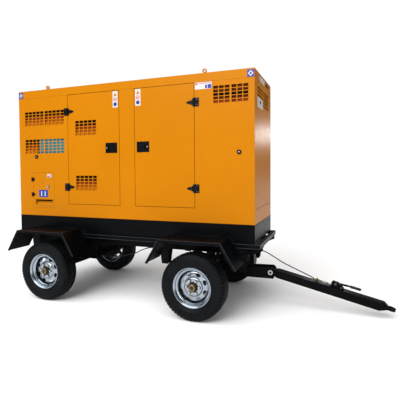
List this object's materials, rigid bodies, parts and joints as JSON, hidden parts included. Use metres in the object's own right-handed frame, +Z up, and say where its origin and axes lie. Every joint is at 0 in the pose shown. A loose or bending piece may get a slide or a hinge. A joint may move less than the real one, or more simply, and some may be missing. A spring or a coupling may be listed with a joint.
{
  "type": "towable diesel generator",
  "caption": "Canopied diesel generating set on a four-wheel steered trailer with drawbar, hinged service doors, louvred panels and lifting eyes",
  "frame": {"origin": "centre of the plan outline on the ground, wheels and drawbar at rest", "axes": "+X towards the drawbar, +Y to the left side, +Z up"},
  "size_m": [4.5556, 1.68, 2.649],
  "materials": {
    "orange_paint": "gloss orange paint",
    "black_paint": "satin black paint",
    "black_hardware": "semi-gloss black coating",
    "tyre_rubber": "matt black rubber",
    "rim_silver": "silver paint",
    "hub_steel": "dark oiled cast iron",
    "zinc_steel": "zinc plated",
    "cable_sheath": "smooth casing",
    "engine_grey": "satin grey paint",
    "alternator_teal": "satin teal paint",
    "radiator_core": "matt dark aluminium",
    "black_plastic": "matt black plastic",
    "exhaust_steel": "heat stained steel",
    "panel_grey": "textured grey paint"
  },
  "bodies": {
    "trailer": {"chassis_frame": "black_paint", "deck_frame": "black_paint", "skid_base": "black_paint", "mudguards": "black_paint", "rear_axle": "black_paint", "front_axle": "black_paint", "leaf_springs": "black_paint", "brake_cable_rear": "cable_sheath", "right_side_panels": "orange_paint", "left_side_panels": "orange_paint", "canopy_roof": "orange_paint", "front_end": "orange_paint", "rear_end": "orange_paint", "lifting_eyes": "orange_paint", "panel_fittings": "black_hardware", "engine_block": "engine_grey", "cylinder_head": "engine_grey", "alternator": "alternator_teal", "radiator": "radiator_core", "muffler": "exhaust_steel", "air_filter": "black_plastic", "battery": "black_plastic", "control_panel": "panel_grey"},
    "steering": {"steering_tongue": "black_paint", "hitch_pin": "zinc_steel", "brake_cable": "cable_sheath"},
    "tie_rod": {"tie_rod": "black_paint"},
    "right_knuckle": {"right_knuckle": "black_paint"},
    "left_knuckle": {"left_knuckle": "black_paint"},
    "drawbar": {"drawbar": "black_paint"},
    "brake_lever": {"brake_lever": "black_paint"},
    "outlet_door": {"outlet_door": "orange_paint", "outlet_hardware": "black_hardware"},
    "outlet_lock": {"outlet_lock": "zinc_steel"},
    "control_door": {"control_door": "orange_paint"},
    "radiator_fan": {"radiator_fan": "black_plastic"},
    "front_right_wheel": {"front_right_tyre": "tyre_rubber", "front_right_rim": "rim_silver", "front_right_hub": "hub_steel"},
    "front_left_wheel": {"front_left_tyre": "tyre_rubber", "front_left_rim": "rim_silver", "front_left_hub": "hub_steel"},
    "rear_right_wheel": {"rear_right_tyre": "tyre_rubber", "rear_right_rim": "rim_silver", "rear_right_hub": "hub_steel"},
    "rear_left_wheel": {"rear_left_tyre": "tyre_rubber", "rear_left_rim": "rim_silver", "rear_left_hub": "hub_steel"},
    "right_rear_door": {"right_rear_door": "orange_paint", "right_rear_hardware": "black_hardware"},
    "right_rear_paddle": {"right_rear_paddle": "black_hardware"},
    "right_front_door": {"right_front_door": "orange_paint", "right_front_hardware": "black_hardware"},
    "right_front_paddle": {"right_front_paddle": "black_hardware"},
    "left_rear_door": {"left_rear_door": "orange_paint", "left_rear_hardware": "black_hardware"},
    "left_rear_paddle": {"left_rear_paddle": "black_hardware"},
    "left_front_door": {"left_front_door": "orange_paint", "left_front_hardware": "black_hardware"},
    "left_front_paddle": {"left_front_paddle": "black_hardware"}
  },
  "joints": [
    {"name": "steer", "type": "hinge", "parent": "trailer", "child": "steering", "pos_m": [0.32221, 0, 0.35], "axis": [0, 0, 1], "range_deg": [-25, 25]},
    {"name": "tie_rod_swing", "type": "hinge", "parent": "steering", "child": "tie_rod", "pos_m": [0.17221, 0, 0.291], "axis": [0, 0, 1], "range_deg": [-25, 25]},
    {"name": "right_kingpin", "type": "hinge", "parent": "trailer", "child": "right_knuckle", "pos_m": [0.32221, -0.5, 0.35], "axis": [0, 0, 1], "range_deg": [-25, 25]},
    {"name": "left_kingpin", "type": "hinge", "parent": "trailer", "child": "left_knuckle", "pos_m": [0.32221, 0.5, 0.35], "axis": [0, 0, 1], "range_deg": [-25, 25]},
    {"name": "drawbar_lift", "type": "hinge", "parent": "steering", "child": "drawbar", "pos_m": [0.99821, 0, 0.385], "axis": [0, -1, 0], "range_deg": [0, 70], "deforming": ["brake_cable"]},
    {"name": "brake_lever_pull", "type": "hinge", "parent": "drawbar", "child": "brake_lever", "pos_m": [1.68942, 0, 0.31163], "axis": [0, -1, 0], "range_deg": [0, 60]},
    {"name": "front_right_wheel_spin", "type": "hinge", "parent": "right_knuckle", "child": "front_right_wheel", "pos_m": [0.32221, -0.7, 0.35], "axis": [0, 1, 0], "continuous": true},
    {"name": "front_left_wheel_spin", "type": "hinge", "parent": "left_knuckle", "child": "front_left_wheel", "pos_m": [0.32221, 0.7, 0.35], "axis": [0, 1, 0], "continuous": true},
    {"name": "rear_right_wheel_spin", "type": "hinge", "parent": "trailer", "child": "rear_right_wheel", "pos_m": [-1.58679, -0.7, 0.35], "axis": [0, 1, 0], "continuous": true},
    {"name": "rear_left_wheel_spin", "type": "hinge", "parent": "trailer", "child": "rear_left_wheel", "pos_m": [-1.58679, 0.7, 0.35], "axis": [0, 1, 0], "continuous": true},
    {"name": "right_rear_door_swing", "type": "hinge", "parent": "trailer", "child": "right_rear_door", "pos_m": [-1.46279, -0.4783, 1.8], "axis": [0, 0, -1], "range_deg": [0, 110]},
    {"name": "right_rear_paddle_pull", "type": "hinge", "parent": "right_rear_door", "child": "right_rear_paddle", "pos_m": [-0.85079, -0.465, 1.822], "axis": [0, 0, -1], "range_deg": [0, 30], "stiffness_Nm_per_rad": 0.8, "springref_deg": -8.59},
    {"name": "right_front_door_swing", "type": "hinge", "parent": "trailer", "child": "right_front_door", "pos_m": [0.24321, -0.4783, 1.8], "axis": [0, 0, 1], "range_deg": [0, 110]},
    {"name": "right_front_paddle_pull", "type": "hinge", "parent": "right_front_door", "child": "right_front_paddle", "pos_m": [-0.36879, -0.465, 1.822], "axis": [0, 0, 1], "range_deg": [0, 30], "stiffness_Nm_per_rad": 0.8, "springref_deg": -8.59},
    {"name": "left_rear_door_swing", "type": "hinge", "parent": "trailer", "child": "left_rear_door", "pos_m": [-1.46279, 0.4783, 1.8], "axis": [0, 0, 1], "range_deg": [0, 110]},
    {"name": "left_rear_paddle_pull", "type": "hinge", "parent": "left_rear_door", "child": "left_rear_paddle", "pos_m": [-0.85079, 0.465, 1.822], "axis": [0, 0, 1], "range_deg": [0, 30], "stiffness_Nm_per_rad": 0.8, "springref_deg": -8.59},
    {"name": "left_front_door_swing", "type": "hinge", "parent": "trailer", "child": "left_front_door", "pos_m": [0.24321, 0.4783, 1.8], "axis": [0, 0, -1], "range_deg": [0, 110]},
    {"name": "left_front_paddle_pull", "type": "hinge", "parent": "left_front_door", "child": "left_front_paddle", "pos_m": [-0.36879, 0.465, 1.822], "axis": [0, 0, -1], "range_deg": [0, 30], "stiffness_Nm_per_rad": 0.8, "springref_deg": -8.59},
    {"name": "outlet_door_swing", "type": "hinge", "parent": "trailer", "child": "outlet_door", "pos_m": [-2.03479, -0.4783, 1.3], "axis": [0, 0, -1], "range_deg": [0, 110]},
    {"name": "outlet_lock_turn", "type": "hinge", "parent": "outlet_door", "child": "outlet_lock", "pos_m": [-1.78679, -0.47, 1.349], "axis": [0, 1, 0], "range_deg": [0, 90]},
    {"name": "control_door_swing", "type": "hinge", "parent": "trailer", "child": "control_door", "pos_m": [-2.26109, 0.29, 1.85], "axis": [0, 0, -1], "range_deg": [0, 110]},
    {"name": "fan_spin", "type": "hinge", "parent": "trailer", "child": "radiator_fan", "pos_m": [0.14721, 0, 1.56], "axis": [1, 0, 0], "continuous": true}
  ],
  "couplings": [
    {"joint": "tie_rod_swing", "follows": "steer", "ratio": -1},
    {"joint": "right_kingpin", "follows": "steer", "ratio": 1},
    {"joint": "left_kingpin", "follows": "steer", "ratio": 1}
  ]
}
